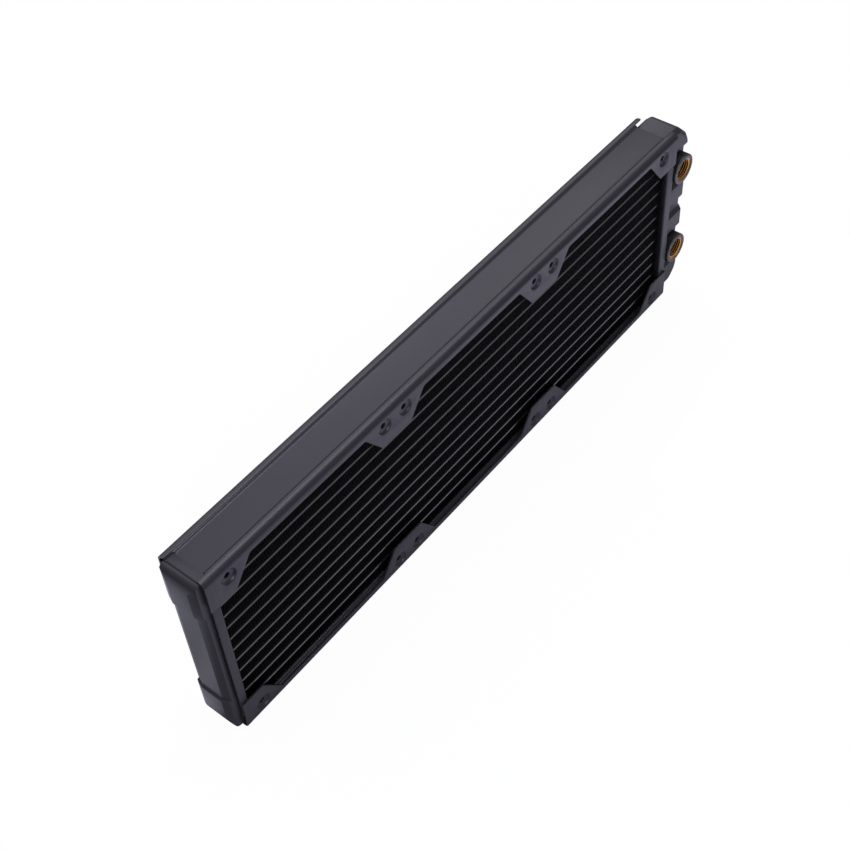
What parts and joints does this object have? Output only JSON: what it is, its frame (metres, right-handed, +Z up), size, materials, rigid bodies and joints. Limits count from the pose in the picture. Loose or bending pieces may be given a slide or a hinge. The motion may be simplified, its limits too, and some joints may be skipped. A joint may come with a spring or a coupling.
{
  "type": "liquid cooling radiator",
  "caption": "Slim flat radiator: a finned tube core between end tanks, in a folded sheet frame with screw tabs for fans, and threaded ports on the front of one tank.",
  "frame": {"origin": "middle of the radiator's overall length and depth, on the surface that its lower long side stands on", "axes": "+X along the radiator towards the tank with the ports, -Y out of the front face with the ports, +Z up across the radiator's width"},
  "size_m": [0.3964, 0.0286, 0.122],
  "materials": {
    "black_coat": "satin black powder coat",
    "core_black": "thin flat black coat",
    "tube_coat": "thin satin black coat over aluminium",
    "brass": "turned, bare"
  },
  "bodies": {
    "root": {"upper_side_plate": "black_coat", "lower_side_plate": "black_coat", "front_left_bar": "black_coat", "front_right_bar": "black_coat", "rear_left_bar": "black_coat", "rear_right_bar": "black_coat", "tube_01": "tube_coat", "tube_02": "tube_coat", "tube_03": "tube_coat", "tube_04": "tube_coat", "tube_05": "tube_coat", "tube_06": "tube_coat", "tube_07": "tube_coat", "tube_08": "tube_coat", "tube_09": "tube_coat", "tube_10": "tube_coat", "tube_11": "tube_coat", "tube_12": "tube_coat", "fin_01": "core_black", "fin_02": "core_black", "fin_03": "core_black", "fin_04": "core_black", "fin_05": "core_black", "fin_06": "core_black", "fin_07": "core_black", "fin_08": "core_black", "fin_09": "core_black", "fin_10": "core_black", "fin_11": "core_black", "fin_12": "core_black", "fin_13": "core_black", "return_header": "core_black", "port_header": "core_black", "return_tank": "black_coat", "port_tank": "black_coat", "tank_baffle": "core_black", "lower_port_collar": "black_coat", "lower_port_thread": "brass", "upper_port_collar": "black_coat", "upper_port_thread": "brass"}
  },
  "joints": []
}
